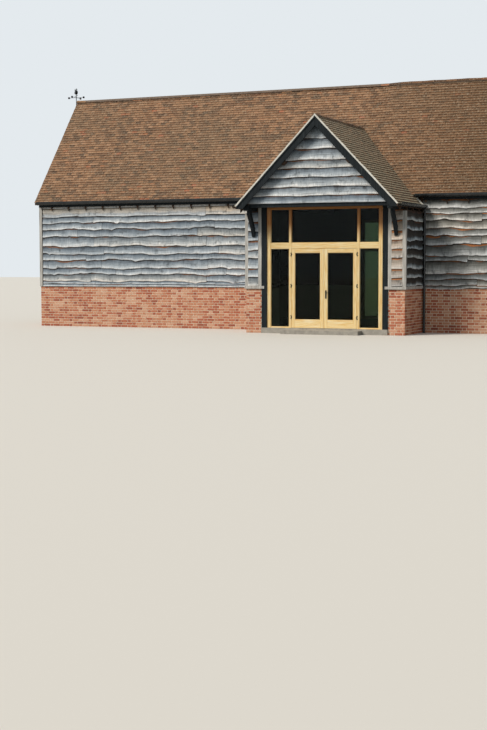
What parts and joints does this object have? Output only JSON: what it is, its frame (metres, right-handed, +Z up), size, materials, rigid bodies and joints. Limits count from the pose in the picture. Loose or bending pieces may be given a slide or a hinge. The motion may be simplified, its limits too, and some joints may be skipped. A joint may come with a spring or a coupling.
{
  "type": "weatherboarded barn with a gabled glazed porch",
  "caption": "Long weatherboarded timber barn on a brick plinth, steep clay tile roof, jettied gabled wagon porch with a glazed oak double-door screen.",
  "frame": {"origin": "on the ground at the middle of the doorway, in the outer plane of the glazed entrance screen", "axes": "+X along the barn, +Y into the barn through the doors, +Z up"},
  "size_m": [20.425, 7.864, 7.5982],
  "materials": {
    "brickwork": "rough red brick in pale lime mortar",
    "concrete": "matt grey screed",
    "stone": "worn pale stone",
    "weatherboard": "silvered waney oak boards",
    "weathered_sill": "silvered oak sill",
    "dark_timber": "black stained timber",
    "roof_timber": "sawn brown oak",
    "clay_tile": "mottled handmade clay, lichen grown",
    "oak": "golden new oak, oiled",
    "glass": "clear sealed units",
    "dark_iron": "dark satin",
    "black_metal": "black satin"
  },
  "bodies": {
    "barn": {"plinth_front": "brickwork", "plinth_rear": "brickwork", "plinth_ends": "brickwork", "plinth_porch": "brickwork", "floor_slab": "concrete", "entrance_sill": "stone", "doorstep": "stone", "wall_front_left": "weatherboard", "wall_front_right": "weatherboard", "wall_rear": "weatherboard", "wall_rear_over_doorway": "weatherboard", "gable_end_left": "weatherboard", "gable_end_right": "weatherboard", "porch_wall_left": "weatherboard", "porch_wall_right": "weatherboard", "porch_gable": "weatherboard", "porch_sills": "weathered_sill", "corner_boards": "weathered_sill", "doorway_posts": "dark_timber", "porch_wall_plates": "dark_timber", "gable_brackets": "dark_timber", "gable_tie_beam": "dark_timber", "bargeboards": "dark_timber", "porch_soffit": "dark_timber", "porch_rafters": "roof_timber", "purlins": "roof_timber", "ridge_boards": "roof_timber", "rafters": "roof_timber", "valley_rafters": "roof_timber", "tie_beams": "roof_timber", "queen_posts": "roof_timber", "roof_front": "clay_tile", "roof_rear": "clay_tile", "porch_roof_left": "clay_tile", "porch_roof_right": "clay_tile", "ridge_tiles": "clay_tile", "entrance_frame": "oak", "entrance_glass": "glass", "rear_frame": "oak", "rear_glass": "glass", "gutters": "black_metal", "downpipes": "black_metal", "vane_mast": "dark_iron"},
    "door_leaf_left": {"door_left": "oak", "door_left_glass": "glass"},
    "door_leaf_right": {"door_right": "oak", "door_right_glass": "glass", "door_handle": "dark_iron"},
    "vane": {"vane_bird": "dark_iron"}
  },
  "joints": [
    {"name": "door_left_hinge", "type": "hinge", "parent": "barn", "child": "door_leaf_left", "pos_m": [-0.942, -0.01, 1.2], "axis": [0, 0, -1], "range_deg": [0, 100]},
    {"name": "door_right_hinge", "type": "hinge", "parent": "barn", "child": "door_leaf_right", "pos_m": [0.942, -0.01, 1.2], "axis": [0, 0, 1], "range_deg": [0, 100]},
    {"name": "vane_spin", "type": "hinge", "parent": "barn", "child": "vane", "pos_m": [-10.09, 4.3, 7.46], "axis": [0, 0, 1], "continuous": true}
  ]
}
